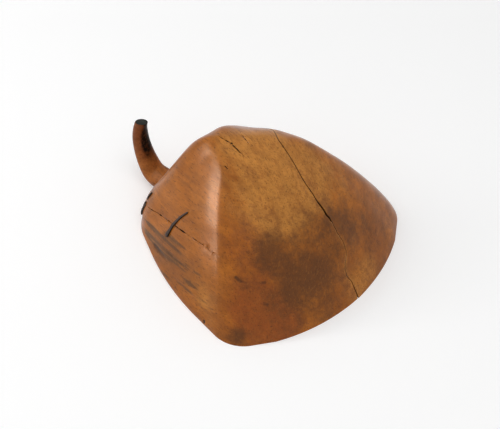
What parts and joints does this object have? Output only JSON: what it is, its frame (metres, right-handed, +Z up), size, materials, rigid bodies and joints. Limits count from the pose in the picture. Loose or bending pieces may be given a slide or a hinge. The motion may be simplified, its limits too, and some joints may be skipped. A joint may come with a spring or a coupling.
{
  "type": "feed scoop",
  "caption": "Hand-carved wooden feed scoop with a deep fan-shaped bowl, a glued split, iron repair staples and a tapered hook handle, lying rim down.",
  "frame": {"origin": "on the plane of the rim, under the middle of the bounding box", "axes": "+X from the handle to the lip, +Y to the far side of the picture, +Z up from the rim to the heel"},
  "size_m": [0.2562, 0.2248, 0.0984],
  "materials": {
    "bowl_wood": "worn, waxed, satin",
    "far_side_wood": "worn, waxed, stained darker",
    "handle_wood": "hand-polished, satin",
    "wedge_wood": "dry, sawn",
    "old_glue": "dry, matt",
    "staple_iron": "forged, dark, dull"
  },
  "bodies": {
    "root": {"bowl_body": "bowl_wood", "bowl_far_side": "far_side_wood", "glue_line": "old_glue", "handle": "handle_wood", "handle_wedge": "wedge_wood", "staple_rear": "staple_iron", "staple_side": "staple_iron"}
  },
  "joints": []
}
